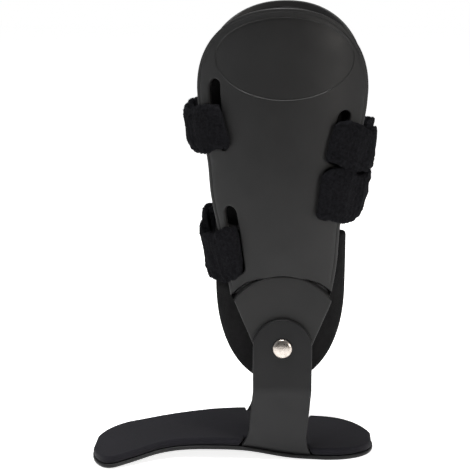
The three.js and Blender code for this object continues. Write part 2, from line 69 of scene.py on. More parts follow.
# The two shells. Each is injection moulded in one piece from charcoal plastic with a fine matt
# grain, 3 mm thick with rounded edges. It wraps the leg, and its foot is a flat fan, the hinge
# plate, which a rivet holds to the stirrup. Four slots near its edges take the straps.
MM = 0.001
hinge_x, _, hinge_z = frame["joints"][0]["pos_m"]
shell_low, shell_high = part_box("medial_shell")
shell_top = shell_high.z
shell_front = hinge_x - shell_low.x
shell_back = shell_high.x - hinge_x
calf_out = -shell_low.y
ankle_out = 45 * MM
shell_wall = 3 * MM
shell_widest = 258 * MM
ankle_radius = 72 * MM
calf_radius = 82 * MM
crown_squareness = 2.2
hinge_out = 46.5 * MM
plate_height = 49 * MM
plate_arc_radius = 41 * MM
plate_half_width = 33 * MM
plate_tail = 18 * MM
plate_step = 0.8 * MM
plate_lip = 0.7 * MM
hole_radius = 2.9 * MM
oval_half = np.array([45.3, 26.5]) * MM
oval_middle = np.array([0, 280]) * MM
oval_depth = 0.6 * MM
slot_half = 4.75 * MM
edge_radius = 0.9 * MM
edge_rings = np.array([0.12, 0.3, 0.55, 0.9, 1.4]) * MM
rim_line = 2.4 * MM
rim_line_depth = 0.3 * MM
channel_depth = 2.4 * MM
channel_width = 2.6 * MM

# The strap slots, whose margins are what is left outside their upper and lower ends
FRONT, BACK = -1, 1
slots = {
    name: {"way": way, "top": top * MM, "length": length * MM, "margins": (upper * MM, lower * MM)}
    for name, way, top, length, upper, lower in [
        ("upper_front", FRONT, 266, 47, 12, 12),
        ("lower_front", FRONT, 181, 47, 10, 5.5),
        ("upper_back", BACK, 246, 35, 13.5, 12.5),
        ("lower_back", BACK, 208, 35, 12.5, 8.5),
    ]
}

# How far the wall reaches, as shares of shell_front and shell_back, from its foot (0) to its
# widest height (1)
wall_reach = {
    "up": [0, 0.18, 0.35, 0.5, 0.66, 0.8, 0.91, 1],
    FRONT: [0.613, 0.69, 0.772, 0.845, 0.88, 0.945, 0.985, 1],
    BACK: [0.585, 0.655, 0.685, 0.75, 0.845, 0.925, 0.98, 1],
}
arc_middle = hinge_z + plate_height - plate_arc_radius
wall_foot = arc_middle + np.sqrt(plate_arc_radius**2 - plate_half_width**2)


def mix(a, b, t):
    return a + (b - a) * t


def clamp01(t):
    return np.clip(t, 0, 1)


def smooth(t):
    return clamp01(t) ** 2 * (3 - 2 * clamp01(t))


def curve_through(at, column, value):
    """A smooth curve through a table: a cubic between two rows, whose slope at a row is that of
    the line between its neighbours."""
    at, column, value = map(np.asarray, (at, column, value))
    before = np.maximum(np.arange(len(at)) - 1, 0)
    after = np.minimum(np.arange(len(at)) + 1, len(at) - 1)
    slope = (column[after] - column[before]) / (at[after] - at[before])
    i = np.clip(np.searchsorted(at, value, "right") - 1, 0, len(at) - 2)
    span = at[i + 1] - at[i]
    t = clamp01((value - at[i]) / span)
    start = (2 * t**3 - 3 * t**2 + 1) * column[i] + (t**3 - 2 * t**2 + t) * slope[i] * span
    return start + (3 * t**2 - 2 * t**3) * column[i + 1] + (t**3 - t**2) * slope[i + 1] * span


def reach(z, way):
    """How far the shell reaches to the front or back at a height: the table up to its widest
    height, and a quarter of a superellipse over the crown."""
    z = np.asarray(z, float)
    full = shell_front if way == FRONT else shell_back
    up = (z - wall_foot) / (shell_widest - wall_foot)
    share = curve_through(wall_reach["up"], wall_reach[way], up)
    over = clamp01((z - shell_widest) / (shell_top - shell_widest))
    crown = (1 - over**crown_squareness) ** (1 / crown_squareness)
    return full * np.where(z > shell_widest, crown, share)


def rise(z):
    return clamp01((np.asarray(z) - wall_foot) / (shell_top - wall_foot))


def wrap_radius(z):
    return mix(ankle_radius, calf_radius, rise(z))


def wall_out(z):
    return mix(ankle_out, calf_out, np.sin(rise(z) * np.pi / 2))


def even(points, step, closed=True):
    """Points spaced evenly along a polyline."""
    line = np.vstack([points, points[:1]]) if closed else points
    at = np.append(0, np.cumsum(np.linalg.norm(np.diff(line, axis=0), axis=1)))
    count = int(np.ceil(at[-1] / step))
    wanted = np.linspace(0, at[-1], count + 1)[: count if closed else count + 1]
    return np.stack([np.interp(wanted, at, line[:, i]) for i in range(2)], 1)


def soften(loop, times):
    """A closed line with its corners rounded: each point moves to the mean of its neighbours."""
    for _ in range(times):
        loop = (np.roll(loop, 1, 0) + 2 * loop + np.roll(loop, -1, 0)) / 4
    return loop


def distance(points, loop):
    """The distance from each point to a closed line, segment by segment."""
    ends = np.roll(loop, -1, 0)
    along = ends - loop
    nearest = []
    for some in np.array_split(points, len(points) // 1500 + 1):
        to = some[:, None] - loop
        t = clamp01((to * along).sum(2) / (along**2).sum(1))
        nearest.append(np.linalg.norm(to - t[..., None] * along, axis=2).min(1))
    return np.concatenate(nearest)


def inside(points, loop):
    """Whether each point lies in a closed line: a ray to the right crosses it an odd number of
    times."""
    ends = np.roll(loop, -1, 0)
    x, y = points[:, :1], points[:, 1:]
    spans = (loop[:, 1] > y) != (ends[:, 1] > y)
    height = np.where(ends[:, 1] == loop[:, 1], 1, ends[:, 1] - loop[:, 1])
    crossing = loop[:, 0] + (y - loop[:, 1]) * (ends[:, 0] - loop[:, 0]) / height
    return (spans & (x < crossing)).sum(1) % 2 == 1


def inner_rings(outline, distances):
    """Lines that follow an anticlockwise outline at some distances inside it, without the points
    that a corner brings too close to it."""
    along = np.roll(outline, -1, 0) - np.roll(outline, 1, 0)
    inwards = np.stack([-along[:, 1], along[:, 0]], 1) / np.linalg.norm(along, axis=1)[:, None]
    rings = [outline + inwards * d for d in distances]
    return [r[distance(r, outline) > 0.93 * d] for r, d in zip(rings, distances)]


def flat_mesh(outline, holes, rings, step):
    """Triangles that fill an outline round its holes. Their corners are the points of the
    outline, the holes and the rings that follow an edge or a crease, and a staggered grid
    between them. Returns the corners and, for each triangle, its three indices."""
    low, high = outline.min(0), outline.max(0)
    columns, rows = np.arange(low[0], high[0], step), np.arange(low[1], high[1], step * 0.866)
    x, y = np.meshgrid(columns, rows)
    x = x + (np.arange(len(rows)) % 2)[:, None] * step / 2
    grid = np.stack([x.ravel(), y.ravel()], 1)
    for guide in [outline, *holes, *rings]:
        grid = grid[distance(grid, guide) > step * 0.55]
    grid = grid[inside(grid, outline)]
    corners, edges, first = [], [], 0
    for loop in [outline, *holes]:
        at = np.arange(len(loop))
        edges += (np.stack([at, np.roll(at, -1)], 1) + first).tolist()
        corners.append(loop)
        first += len(loop)
    loose = np.concatenate([*rings, grid])
    for hole in holes:
        loose = loose[~inside(loose, hole)]
    corners = np.concatenate([*corners, loose])
    made = delaunay_2d_cdt([Vector(p) for p in corners.tolist()], edges, [], 0, 1e-8)
    corners = np.array([p[:] for p in made[0]])
    triangles = np.array(made[2])
    middle = corners[triangles].mean(1)
    kept = inside(middle, outline)
    for hole in holes:
        kept &= ~inside(middle, hole)
    return corners, triangles[kept]


def thick_sheet(triangles, front, back):
    """The vertices and faces of a closed sheet: its front face, its back face turned round, and a
    band of quads between their edges, which are the triangle sides that only one triangle has."""
    count = len(front)
    sides = np.concatenate([triangles[:, [0, 1]], triangles[:, [1, 2]], triangles[:, [2, 0]]])
    key, opposite = sides[:, 0] * count + sides[:, 1], sides[:, 1] * count + sides[:, 0]
    a, b = sides[~np.isin(opposite, key)].T
    band = np.stack([b, a, a + count, b + count], 1)
    faces = triangles.tolist() + (triangles[:, ::-1] + count).tolist() + band.tolist()
    return np.concatenate([front, back]), faces


def edge_round(inset, radius):
    """How far a face drops near its edge, along a quarter circle."""
    return radius * (1 - np.sqrt(1 - clamp01(1 - inset / radius) ** 2))


def placed(points, side):
    """Points (x from the hinge axis, out, z) on one side of the brace, in the frame."""
    return points * [1, side, 1] + [hinge_x, 0, 0]


def new_piece(name, vertices, faces, sharp=40):
    """A smooth shaded mesh object, with hard edges where its faces meet at a large angle."""
    mesh = bpy.data.meshes.new(name)
    mesh.from_pydata(vertices.tolist(), [], faces)
    mesh.shade_smooth()
    mesh.set_sharp_from_angle(angle=np.radians(sharp))
    piece = bpy.data.objects.new(name, mesh)
    bpy.context.scene.collection.objects.link(piece)
    return piece


def mirrored_faces(faces, side):
    """Faces of the medial side, turned round for the lateral side, whose points are mirrored."""
    return faces if side < 0 else [face[::-1] for face in faces]


def margin_at(slot, z):
    return mix(*slot["margins"], clamp01((slot["top"] - z) / slot["length"]))


def slot_loop(slot, grow):
    """A slot's outline grown by a distance: two half circles, laid along the shell's edge, which
    it follows at a fixed distance round the wall."""
    radius = slot_half + grow
    turn = np.linspace(0, np.pi, 24)
    low, high = slot["top"] - slot["length"] + slot_half, slot["top"] - slot_half
    across = np.concatenate([radius * np.cos(turn), -radius * np.cos(turn)])
    z = np.concatenate([high + radius * np.sin(turn), low - radius * np.sin(turn)])
    across, z = even(np.stack([across, z], 1), 0.9 * MM).T
    bend = wrap_radius(z)
    inwards = (margin_at(slot, z) + slot_half + across) / bend
    x = slot["way"] * bend * np.sin(np.arcsin(reach(z, slot["way"]) / bend) - inwards)
    return np.stack([x, z], 1)


def shell_outline():
    """The shell's outline from the side, anticlockwise: the round tail of the hinge plate, its
    straight side up to the end of its arc, the wall's edge and the crown, and the same down."""
    corner = np.array([plate_half_width, wall_foot - hinge_z])
    start = np.arctan2(*corner[::-1]) - np.arccos(plate_tail / np.linalg.norm(corner))
    turn = np.linspace(-np.pi / 2, start, 24)
    tail = np.stack([plate_tail * np.cos(turn), hinge_z + plate_tail * np.sin(turn)], 1)
    wall = np.linspace(wall_foot, shell_widest, 120)
    crown = shell_widest + (shell_top - shell_widest) * np.sin(np.linspace(0.02, 1, 90) * np.pi / 2)
    z = np.concatenate([wall, crown])

    def half(way):
        edge = np.stack([reach(z, way), z], 1)
        return np.concatenate([tail, [corner + [0, hinge_z]], edge]) * [way, 1]

    loop = np.concatenate([half(BACK), half(FRONT)[::-1][1:-1]])
    return soften(even(loop, 0.9 * MM), 3)


def circle(middle, half, count):
    turn = np.arange(count) * 2 * np.pi / count
    return middle + half * np.stack([np.cos(turn), np.sin(turn)], 1)


def past_arc(flat):
    """How far a point lies past the hinge plate's arc."""
    return np.hypot(flat[:, 0], flat[:, 1] - arc_middle) - plate_arc_radius


def shell_surface(flat, depth):
    """The shell at a depth under its outer face. The wall is an arc of a circle at each height,
    and the hinge plate is flat. Between them the plate's lip drops to the wall."""
    x, z = flat.T
    bend = wrap_radius(z)
    turn = np.arcsin(clamp01(np.abs(x) / bend)) * np.sign(x)
    wall = [np.sin(turn) * (bend - depth), wall_out(z) - bend + np.cos(turn) * (bend - depth), z]
    plate = [x, hinge_out - depth - edge_round(-past_arc(flat), plate_lip), z]
    over = clamp01(past_arc(flat) / plate_step)
    return mix(np.stack(plate, 1), np.stack(wall, 1), over[:, None])


def make_shell():
    """A shell's vertices (x, out, z) and faces."""
    outline = shell_outline()
    hole = circle([0, hinge_z], hole_radius, 36)
    slot_edges = [slot_loop(slot, 0) for slot in slots.values()]
    beside_line = rim_line + np.array([-0.6, -0.3, 0, 0.3, 0.6]) * MM
    rings = inner_rings(outline, np.append(edge_rings, beside_line))
    rings += [slot_loop(slot, grow) for slot in slots.values() for grow in edge_rings]
    rings += [circle([0, hinge_z], hole_radius + grow, 36) for grow in edge_rings[::2]]
    rings += [circle(oval_middle, oval_half + grow, 200) for grow in np.linspace(-0.6, 0.6, 7) * MM]
    across_channel = [-1.4, -0.7, -0.45, -0.25, -0.1, 0, 0.2, 0.5, 0.9, 1.3, 1.7, 2.1, 2.5, 2.9, 3.4]
    for grow in np.array(across_channel) * MM:
        ring = circle([0, arc_middle], plate_arc_radius + grow, 280)
        within = inside(ring, outline) & (distance(ring, outline) > 1.8 * MM)
        rings.append(ring[(ring[:, 1] > wall_foot) & within])
    flat, triangles = flat_mesh(outline, [*slot_edges, hole], rings, 2 * MM)
    to_edge = np.min([distance(flat, loop) for loop in [outline, *slot_edges, hole]], axis=0)
    round_off = edge_round(to_edge, edge_radius)
    in_oval = np.linalg.norm((flat - oval_middle) / oval_half, axis=1)
    pressed = smooth((1 - in_oval) * oval_half[1] / (0.5 * MM) + 0.5)
    past = past_arc(flat)
    aside = smooth((np.abs(flat[:, 0]) / plate_half_width - 0.2) / 0.7)
    channel = smooth(past / (0.35 * MM)) * smooth((channel_width * aside - past) / (0.5 * MM))
    off_rim = distance(flat, outline) - rim_line
    line = np.exp(-((off_rim / (0.35 * MM)) ** 2))
    line = line * smooth((past - 2 * channel_width) / channel_width)
    relief = oval_depth * pressed + channel_depth * channel + rim_line_depth * line
    front = shell_surface(flat, round_off + relief)
    drawn_in = shell_wall * smooth(past / (12 * MM) + 1) * smooth((10 * MM - past) / (8 * MM))
    towards = (flat - [0, arc_middle]) / np.maximum(past + plate_arc_radius, 1 * MM)[:, None]
    back_flat = flat - towards * (drawn_in * (flat[:, 1] > arc_middle))[:, None]
    back = shell_surface(back_flat, shell_wall - 0.6 * round_off)
    return thick_sheet(triangles, front, back)


class Wire:
    """A shader socket that takes part in sums: an expression on wires adds its Math nodes."""

    def __init__(self, paint, socket):
        self.paint, self.socket = paint, socket

    def math(self, operation, *values):
        return self.paint.node("Math", {"operation": operation}, dict(enumerate(values)))

    def __add__(self, other):
        return self.math("ADD", self, other)

    def __mul__(self, other):
        return self.math("MULTIPLY", self, other)

    __radd__, __rmul__ = __add__, __mul__


class Paint:
    """A material: its name, the values that are the same all over it, and its nodes."""

    def __init__(self, name, values):
        self.material = bpy.data.materials.new(name)
        self.material.use_nodes = True
        self.tree = self.material.node_tree
        self.shader = self.tree.nodes["Principled BSDF"]
        for socket, value in values.items():
            self.shader.inputs[socket].default_value = value
        self.place = self.node("TexCoord", output="Object")

    def node(self, kind, settings=(), inputs=(), output=0):
        """A node's output, after its settings are made and its inputs set or linked. The stops
        of a ramp are (position, colour) pairs."""
        made = self.tree.nodes.new("ShaderNode" + kind)
        for name, value in dict(settings).items():
            if name != "stops":
                setattr(made, name, value)
                continue
            ramp = made.color_ramp
            while len(ramp.elements) < len(value):
                ramp.elements.new(1)
            for element, (at, colour) in zip(ramp.elements, value):
                element.position, element.color = at, (*colour, 1)
        for name, value in dict(inputs).items():
            if isinstance(value, Wire):
                self.tree.links.new(value.socket, made.inputs[name])
            else:
                made.inputs[name].default_value = value
        return Wire(self, made.outputs[output])

    def noise(self, scale, detail=2, roughness=0.5, place=None):
        sockets = {"Scale": scale, "Detail": detail, "Roughness": roughness}
        return self.node("TexNoise", inputs={"Vector": place or self.place, **sockets})

    def ramp(self, value, *stops):
        return self.node("ValToRGB", {"stops": stops}, {"Fac": value})

    def fit(self, value, low, high, to_low=0, to_high=1):
        """A value carried from one range to another, and held at its ends."""
        ends = {"From Min": low, "From Max": high, "To Min": to_low, "To Max": to_high}
        return self.node("MapRange", inputs={"Value": value, **ends}, output="Result")

    def feed(self, socket, wire):
        self.tree.links.new(wire.socket, self.shader.inputs[socket])

    def bump(self, height, strength, depth):
        sockets = {"Height": height, "Strength": strength, "Distance": depth}
        self.feed("Normal", self.node("Bump", inputs=sockets))


def moulded_plastic(name, dark, light, roughness):
    """Black plastic with a fine spark-eroded grain, a little cloudy in colour and gloss."""
    paint = Paint(name, {"Specular IOR Level": 0.18})
    cloud = paint.noise(28, 3)
    speck = paint.noise(1400, 2)
    paint.feed("Base Color", paint.ramp(cloud * 0.7 + speck * 0.3, (0.3, dark), (0.7, light)))
    gloss = paint.fit(paint.noise(60, 4), 0.3, 0.7, roughness - 0.05, roughness + 0.07)
    paint.feed("Roughness", gloss)
    grain = paint.noise(2600, 3, 0.6)
    paint.bump(grain + paint.noise(240, 2) * 0.6, 0.35, 0.08 * MM)
    return paint.material


shell_vertices, shell_faces = make_shell()
shell_dark, shell_light = (0.019, 0.019, 0.0192), (0.024, 0.0238, 0.0238)
shell_plastic = moulded_plastic("shell plastic", shell_dark, shell_light, 0.45)
for name, side in {"medial_shell": -1, "lateral_shell": 1}.items():
    faces = mirrored_faces(shell_faces, side)
    shell = new_piece(f"{name}_moulding", placed(shell_vertices, side), faces)
    shell.data.materials.append(shell_plastic)
    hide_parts(name)
    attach(shell, "cuff")


# The stirrup: a sole plate and two uprights, moulded flat in near-black plastic and bent up into
# a U. An upright leans out from the plate's edge, then stands straight beside the hinge plate and
# ends in a half circle round the rivet.
sole_length = 197.5 * MM
sole_heel = cad_high.x - hinge_x
sole_half_width = 36.5 * MM
sole_thickness = 2.7 * MM
arch_height = 6.5 * MM
heel_round = 37 * MM
toe_round = 22 * MM
toe_sweep = 27.8 * MM
turn_gap = 0.4 * MM
touch_gap = 0.35 * MM
upright_thickness = 3 * MM
upright_half_width = 20 * MM
upright_straight_below = 30 * MM
upright_bend = 6.5 * MM
upright_lean = 4.5 * MM
upright_flare = 6.5 * MM
upright_flare_height = 18 * MM

# The sole from heel (0) to toe (1): its middle line's swing as a share of toe_sweep, its half
# width as a share of sole_half_width, and its lift as one of arch_height
sole_sections = {
    "along": [0, 0.08, 0.17, 0.3, 0.45, 0.57, 0.68, 0.76, 0.85, 0.93, 1],
    "swing": [0.28, 0.1, 0, 0, 0, 0.09, 0.19, 0.36, 0.64, 0.88, 1],
    "half": [1, 1, 1, 1, 1, 0.94, 0.865, 0.87, 0.97, 1.04, 1.04],
    "lift": [0, 0, 0, 0.2, 0.88, 1, 0.86, 0.68, 0.32, 0.05, 0],
}


def sole_value(x, column):
    along = (sole_heel - x) / sole_length
    return curve_through(sole_sections["along"], sole_sections[column], along)


def sole_swing(x):
    return toe_sweep * sole_value(x, "swing")


def sole_lift(x):
    return arch_height * np.maximum(0, sole_value(x, "lift"))


def sole_half(x):
    """Half the sole's width, closed at the heel and the toe by quarters of an ellipse."""
    heel = clamp01((x - (sole_heel - heel_round)) / heel_round)
    toe = clamp01((sole_heel - sole_length + toe_round - x) / toe_round)
    return sole_half_width * sole_value(x, "half") * np.sqrt((1 - heel**2) * (1 - toe**2))


def sole_outline(inset, half):
    """The plan of a slab on the sole, anticlockwise seen from above: the lateral side from heel
    to toe, and back along the medial side."""
    share = (1 - np.cos(np.linspace(0, np.pi, 400))) / 2
    x = mix(sole_heel - inset, sole_heel - sole_length + inset, share)
    lateral = np.stack([x, half(x) - sole_swing(x)], 1)
    medial = np.stack([x, -half(x) - sole_swing(x)], 1)
    return even(np.concatenate([lateral, medial[::-1][1:-1]]), 1.1 * MM)


def upright_path():
    """An upright's middle line as columns (out, z, turn): flat inside the sole plate, round the
    bend, leaning out and straight up. The turn goes from lying to standing."""
    middle = hinge_out + turn_gap + upright_thickness / 2
    straight = hinge_z - upright_straight_below
    foot = sole_half_width - upright_thickness / 2
    stand = np.pi / 2 - np.arctan2(middle - foot, straight - upright_bend)
    turn = np.linspace(0, stand, 24)
    bend_out = foot - upright_bend
    bend_up = sole_thickness / 2 + upright_bend * (1 - np.cos(turn))
    bend = [bend_out + upright_bend * np.sin(turn), bend_up, turn]
    easing = np.linspace(0.05, 0.95, 12)
    knee = 6 * MM
    heights = straight + knee * (2 * easing - 1)
    lean_out = bend[0][-1] + (heights - bend[1][-1]) / np.tan(stand)
    eased = mix(lean_out, middle, smooth(easing))
    top = hinge_z + upright_half_width
    return np.concatenate([
        [[bend_out - upright_bend / 2, sole_thickness / 2, 0]],
        np.stack(bend, 1),
        np.stack([eased, heights, mix(stand, np.pi / 2, smooth(easing))], 1),
        [[middle, straight + knee + 1 * MM, np.pi / 2], [middle, top, np.pi / 2]],
    ])


def make_upright():
    """An upright, laid out flat as (across, along its path), cut out, and bent along the path."""
    rows = upright_path()
    at = np.append(0, np.cumsum(np.linalg.norm(np.diff(rows[:, :2], axis=0), axis=1)))
    to_hinge = at[-1] - upright_half_width
    along = np.linspace(0, to_hinge, 160)
    z = np.interp(along, at, rows[:, 1])
    half = upright_half_width + upright_flare * clamp01(1 - z / upright_flare_height) ** 2
    top = np.linspace(0, np.pi, 60)[1:-1]
    right = np.stack([half, along], 1)
    crown = upright_half_width * np.stack([np.cos(top), np.sin(top)], 1) + [0, to_hinge]
    left = right[::-1] * [-1, 1]
    outline = even(np.concatenate([right, crown, left]), 0.9 * MM)
    hole = circle([0, to_hinge], hole_radius, 36)
    rings = inner_rings(outline, edge_rings)
    rings += [circle([0, to_hinge], hole_radius + grow, 36) for grow in edge_rings]
    flat, triangles = flat_mesh(outline, [hole], rings, 2.2 * MM)
    to_edge = np.minimum(distance(flat, outline), distance(flat, hole))
    across, along = flat.T
    out, z, turn = (np.interp(along, at, column) for column in rows.T)
    straight = hinge_z - upright_straight_below
    drop = clamp01((straight - z) / straight)
    x = across - upright_lean * drop
    thick = mix(sole_thickness * 0.94, upright_thickness, clamp01(turn * 2 / np.pi))
    faces = []
    for way in (1, -1):
        shift = way * (thick / 2 - edge_round(to_edge, 0.8 * MM))
        height = z + sole_lift(x) * smooth(drop) - shift * np.cos(turn)
        faces.append(np.stack([x, out + shift * np.sin(turn), height], 1))
    return thick_sheet(triangles, faces[0], faces[1])


def make_sole():
    outline = sole_outline(0, sole_half)
    flat, triangles = flat_mesh(outline, [], inner_rings(outline, edge_rings), 2.6 * MM)
    drop = edge_round(distance(flat, outline), 0.9 * MM)
    x, y = flat.T
    top = np.stack([x + hinge_x, y, sole_lift(x) + sole_thickness - drop], 1)
    bottom = np.stack([x + hinge_x, y, sole_lift(x) + drop], 1)
    return thick_sheet(triangles, top, bottom)


def fused(piece, others):
    """The union of a piece and others, which are then removed."""
    for other in others:
        union = piece.modifiers.new("union", "BOOLEAN")
        union.operation, union.solver, union.object = "UNION", "EXACT", other
    evaluated = piece.evaluated_get(bpy.context.evaluated_depsgraph_get())
    made = bpy.data.meshes.new_from_object(evaluated)
    piece.modifiers.clear()
    piece.data = made
    for other in others:
        bpy.data.objects.remove(other)
    made.shade_smooth()
    made.set_sharp_from_angle(angle=np.radians(35))
    return piece


upright_vertices, upright_faces = make_upright()
uprights = [
    new_piece(f"upright_{side}", placed(upright_vertices, side), faces)
    for side, faces in [(-1, upright_faces), (1, mirrored_faces(upright_faces, 1))]
]
stirrup = new_piece("stirrup_moulding", *make_sole())
bpy.context.view_layer.update()
stirrup = fused(stirrup, uprights)
stirrup_dark, stirrup_light = (0.009, 0.009, 0.0095), (0.012, 0.012, 0.0125)
stirrup_plastic = moulded_plastic("stirrup plastic", stirrup_dark, stirrup_light, 0.5)
stirrup.data.materials.clear()
stirrup.data.materials.append(stirrup_plastic)
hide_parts("stirrup")
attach(stirrup, "foot")


# The insole: foam about 5 mm thick under a navy-black brushed cover, cut a little smaller than the
# sole plate, with its upper edge rounded, and narrower between the uprights.
insole_thickness = 4.8 * MM
insole_inset = 1.3 * MM
insole_notch_half = 24.7 * MM
insole_notch_corner = 1.2 * MM
insole_tuck = 2.2 * MM
insole_edge = 1.9 * MM


def insole_half(x):
    """Half the insole's width: the sole's less an inset, held narrower beside the uprights."""
    full = np.maximum(0, sole_half(x) - insole_inset)
    notch = sole_half_width - upright_thickness / 2 - upright_bend - touch_gap
    into = smooth((insole_notch_half - np.abs(x + upright_lean)) / insole_notch_corner + 1)
    return mix(full, np.minimum(full, notch), into)


insole_outline = sole_outline(insole_inset, insole_half)
insole_rings = inner_rings(insole_outline, np.array([0.2, 0.5, 0.9, 1.4, 2, 3]) * MM)
insole_flat, insole_triangles = flat_mesh(insole_outline, [], insole_rings, 2.4 * MM)
insole_x, insole_y = insole_flat.T
insole_drop = edge_round(distance(insole_flat, insole_outline), insole_edge)
insole_low = sole_lift(insole_x) + sole_thickness + touch_gap

# Beside the notch its upper layer is tucked against the upright, which narrows towards the top
from_upright = insole_x + upright_lean
beside = np.abs(from_upright)
tuck = smooth(2 - beside / insole_notch_half) * smooth((beside - insole_notch_half) / MM + 1)
top_x = insole_x + hinge_x - insole_tuck * tuck * np.sign(from_upright)
insole_high = insole_low + insole_thickness - insole_drop
insole_top = np.stack([top_x, insole_y, insole_high], 1)
insole_bottom = np.stack([insole_x + hinge_x, insole_y, insole_low + 0.25 * insole_drop], 1)
insole = new_piece("insole_pad", *thick_sheet(insole_triangles, insole_top, insole_bottom), sharp=60)

cover = Paint("insole cover", {
    "Roughness": 0.95, "Specular IOR Level": 0.2, "Sheen Weight": 0.05, "Sheen Roughness": 0.6,
})
cover_stops = (0.35, (0.004, 0.0037, 0.006)), (0.7, (0.0062, 0.0057, 0.0088))
cover.feed("Base Color", cover.ramp(cover.noise(22, 3), *cover_stops))
cover.bump(cover.noise(1500, 3, 0.65) + cover.noise(260, 2) * 0.7, 0.5, 0.2 * MM)
insole.data.materials.append(cover.material)
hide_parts("insole")
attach(insole, "foot")


# The two rivets: nickel-plated steel, with a low domed head outside the upright, a shank through
# both pieces and a flat tail inside the hinge plate. Turned round the hinge axis.
head_radius = 6.5 * MM
head_height = 2.4 * MM
head_edge = 0.6 * MM
shank_radius = 2.5 * MM
tail_radius = 4.6 * MM
tail_height = 1.2 * MM


def make_rivet():
    """A profile (radius, out) turned round the hinge axis, as rings of quads."""
    head_seat = hinge_out + turn_gap + upright_thickness + touch_gap
    tail_seat = hinge_out - shell_wall - touch_gap
    t = np.linspace(0, np.pi / 2, 20)
    edge = head_edge * 0.45
    rim = np.linspace(-np.pi / 2, 0, 6)
    dome_out = head_seat + head_edge + (head_height - head_edge) * np.sin(t)
    head = np.stack([head_radius * np.cos(t), dome_out], 1)
    round_rim = np.stack([edge * np.cos(rim) - edge, edge + edge * np.sin(rim)], 1)
    profile = np.concatenate([
        [[1e-6, tail_seat - tail_height], [tail_radius - edge, tail_seat - tail_height]],
        round_rim[1:] + [tail_radius, tail_seat - tail_height],
        [[tail_radius, tail_seat], [shank_radius, tail_seat], [shank_radius, head_seat]],
        round_rim + [head_radius, head_seat],
        head[:-1],
        [[1e-6, head_seat + head_height]],
    ])
    count = 64
    turn = np.arange(count) * 2 * np.pi / count
    radius, out = profile[:, :1], profile[:, 1:]
    x, z = radius * np.cos(turn), hinge_z + radius * np.sin(turn)
    points = np.stack([x, np.broadcast_to(out, x.shape), z], 2).reshape(-1, 3)
    row, column = np.meshgrid(np.arange(len(profile) - 1), np.arange(count), indexing="ij")
    a, b = row * count + column, row * count + (column + 1) % count
    faces = np.stack([a, b, b + count, a + count], 2).reshape(-1, 4)
    ends = [list(range(count))[::-1], list(range(len(points) - count, len(points)))]
    return points, faces.tolist() + ends


rivet_vertices, rivet_faces = make_rivet()
nickel = Paint("nickel plate", {"Metallic": 1.0})
nickel_stops = (0.3, (0.4, 0.36, 0.32)), (0.75, (0.55, 0.5, 0.46))
nickel.feed("Base Color", nickel.ramp(nickel.noise(420, 4), *nickel_stops))
nickel.feed("Roughness", nickel.fit(nickel.noise(700, 5), 0.3, 0.7, 0.22, 0.36))
nickel.bump(nickel.noise(900, 4), 0.15, 0.05 * MM)
for name, side in {"medial_rivet": -1, "lateral_rivet": 1}.items():
    faces = mirrored_faces(rivet_faces, side)
    rivet = new_piece(f"{name}_turned", placed(rivet_vertices, side), faces, sharp=50)
    rivet.data.materials.append(nickel.material)
    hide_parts(name)
    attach(rivet, "foot")


# The pads: foam in a black knitted cover, which line the shells. The two calf pads end a little
# inside the shells' outline, and the two egg-shaped ankle pads show on both sides of the hinge
# plates. They lift off the shell where a strap's tail passes between.
pad_thickness = 8 * MM
pad_gap = 0.9 * MM
pad_inset = 6 * MM
pad_rise = 9 * MM
pad_bend = 0.25
strap_room = 4.05 * MM
calf_pad_top = 308.5 * MM
calf_pad_bottom = 165.5 * MM
ankle_pad_top = 163 * MM
ankle_pad_bottom = 57 * MM
ankle_pad_half = 43.2 * MM
ankle_pad_widest = 125 * MM
ankle_pad_squareness = 2.3
ankle_pad_gap = ankle_out - (hinge_out - shell_wall - touch_gap - tail_height) + pad_gap


def pad_lift(x, z):
    """How far a pad lies off its usual depth: over the tail of a strap beside each slot, and a
    little further in beyond the shell's edge."""
    shell_z = np.clip(z, wall_foot, shell_widest)
    lift = np.zeros_like(x)
    for slot in slots.values():
        way = slot["way"]
        from_rim = reach(shell_z, way) - way * x
        beyond = np.abs(z - (slot["top"] - slot["length"] / 2)) - slot["length"] / 2
        along = smooth(1 - (beyond - pad_rise / 2) / pad_rise)
        across = smooth((margin_at(slot, z) + 2 * slot_half + pad_rise - from_rim) / pad_rise)
        lift = np.maximum(lift, along * across)
    rim = np.where(x < 0, reach(shell_z, FRONT), reach(shell_z, BACK)) - np.abs(x)
    return lift * strap_room + pad_bend * np.maximum(0, -rim)


def pad_surface(flat, gap, inwards):
    """A pad's point at a distance inwards of its middle layer, which follows the wall inside the
    shell's outline and runs straight on past it."""
    x, z = flat.T
    shell_z = np.maximum(z, wall_foot)
    held_z = np.minimum(shell_z, shell_widest)
    limit = np.where(x < 0, reach(held_z, FRONT), reach(held_z, BACK)) - pad_inset
    held = np.sign(x) * np.minimum(np.abs(x), limit)
    bend = wrap_radius(shell_z)
    middle = bend - gap - pad_lift(x, z) - pad_thickness / 2
    turn = np.arcsin(held / middle)
    past = (x - held) / np.cos(turn)
    r = middle - inwards
    out = wall_out(shell_z) - bend + np.cos(turn) * r - np.sin(turn) * past
    return np.stack([np.sin(turn) * r + np.cos(turn) * past, out, z], 1)


def calf_pad_outline():
    """The shell's outline moved in, its crown squeezed down a little, with a level lower edge."""
    z = np.concatenate([
        np.linspace(calf_pad_bottom, shell_widest, 80),
        shell_widest + (calf_pad_top - shell_widest) * np.sin(np.linspace(0.02, 1, 60) * np.pi / 2),
    ])
    stretch = (shell_top - shell_widest) / (calf_pad_top - shell_widest)
    height = np.where(z > shell_widest, shell_widest + (z - shell_widest) * stretch, z)
    right = np.stack([np.maximum(0, reach(height, BACK) - pad_inset), z], 1)
    left = np.stack([-np.maximum(0, reach(height, FRONT) - pad_inset), z], 1)
    return soften(even(np.concatenate([right, left[::-1]]), 1.2 * MM), 12)


